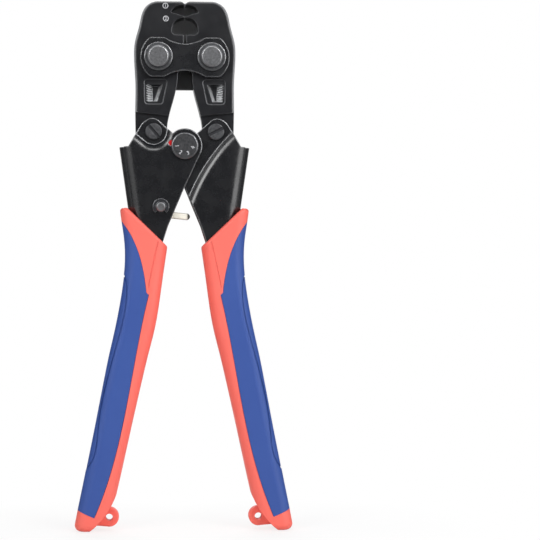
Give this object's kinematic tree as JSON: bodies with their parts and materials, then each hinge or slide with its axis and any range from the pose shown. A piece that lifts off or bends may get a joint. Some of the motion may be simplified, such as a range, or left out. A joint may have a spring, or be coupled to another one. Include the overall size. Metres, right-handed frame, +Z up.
{
  "type": "cinch clamp tool",
  "caption": "Long-handled manual tool that pinches or cuts cinch clamp rings, with linked jaws, folded steel handles, two-colour grips, a ratchet release lever and an adjusting dial.",
  "frame": {"origin": "middle of the tool's width and depth, on the plane that both handle ends stand on", "axes": "+Z up the tool to the jaws, -Y to the front with the dial, +X to the right seen from the front"},
  "size_m": [0.14, 0.0284, 0.341],
  "materials": {
    "black_steel": "satin",
    "gunmetal_steel": "rough",
    "bare_steel": "satin",
    "zinc_steel": "satin",
    "red_grip": "satin",
    "blue_cover": "matte",
    "red_paint": "satin"
  },
  "bodies": {
    "head": {"front_strap": "black_steel", "rear_strap": "black_steel", "jaw_pins": "gunmetal_steel", "jaw_pin_washers": "black_steel", "jaw_pin_nuts": "black_steel"},
    "left_jaw": {"left_jaw": "black_steel"},
    "right_jaw": {"right_jaw": "black_steel"},
    "left_handle": {"left_handle_frame": "black_steel", "left_grip_core": "red_grip", "left_grip_cover": "blue_cover", "left_tail_screw": "black_steel", "left_tail_nut": "black_steel", "index_dot": "red_paint", "pawl_pin": "bare_steel", "pawl_clips": "black_steel", "pawl_spacer": "bare_steel", "pawl_spring": "bare_steel"},
    "right_handle": {"right_handle_frame": "black_steel", "right_grip_core": "red_grip", "right_grip_cover": "blue_cover", "right_tail_screw": "black_steel", "right_tail_nut": "black_steel", "ratchet_sector": "bare_steel", "sector_rivets": "bare_steel"},
    "dial": {"adjusting_dial": "gunmetal_steel", "centre_pin": "bare_steel", "centre_washer": "black_steel", "centre_lock_screw": "black_steel"},
    "pawl": {"release_pawl": "zinc_steel"}
  },
  "joints": [
    {"name": "left_jaw_pivot", "type": "hinge", "parent": "head", "child": "left_jaw", "pos_m": [-0.0171, 0, 0.3045], "axis": [0, -1, 0], "range_deg": [0, 10]},
    {"name": "right_jaw_pivot", "type": "hinge", "parent": "head", "child": "right_jaw", "pos_m": [0.0171, 0, 0.3045], "axis": [0, 1, 0], "range_deg": [0, 10]},
    {"name": "left_handle_pivot", "type": "hinge", "parent": "left_jaw", "child": "left_handle", "pos_m": [-0.02, 0, 0.2565], "axis": [0, 1, 0], "range_deg": [0, 45]},
    {"name": "right_handle_pivot", "type": "hinge", "parent": "right_jaw", "child": "right_handle", "pos_m": [0.02, 0, 0.2565], "axis": [0, -1, 0], "range_deg": [0, 45]},
    {"name": "dial_turn", "type": "hinge", "parent": "left_handle", "child": "dial", "pos_m": [0, 0, 0.2473], "axis": [0, -1, 0], "continuous": true},
    {"name": "release_pawl_pivot", "type": "hinge", "parent": "left_handle", "child": "pawl", "pos_m": [-0.0153, 0, 0.208], "axis": [0, -1, 0], "range_deg": [-14, 10], "stiffness_Nm_per_rad": 0.05}
  ],
  "couplings": [
    {"joint": "right_jaw_pivot", "follows": "left_jaw_pivot", "ratio": 1},
    {"joint": "left_handle_pivot", "follows": "left_jaw_pivot", "ratio": 4.5},
    {"joint": "right_handle_pivot", "follows": "left_jaw_pivot", "ratio": 4.5}
  ]
}
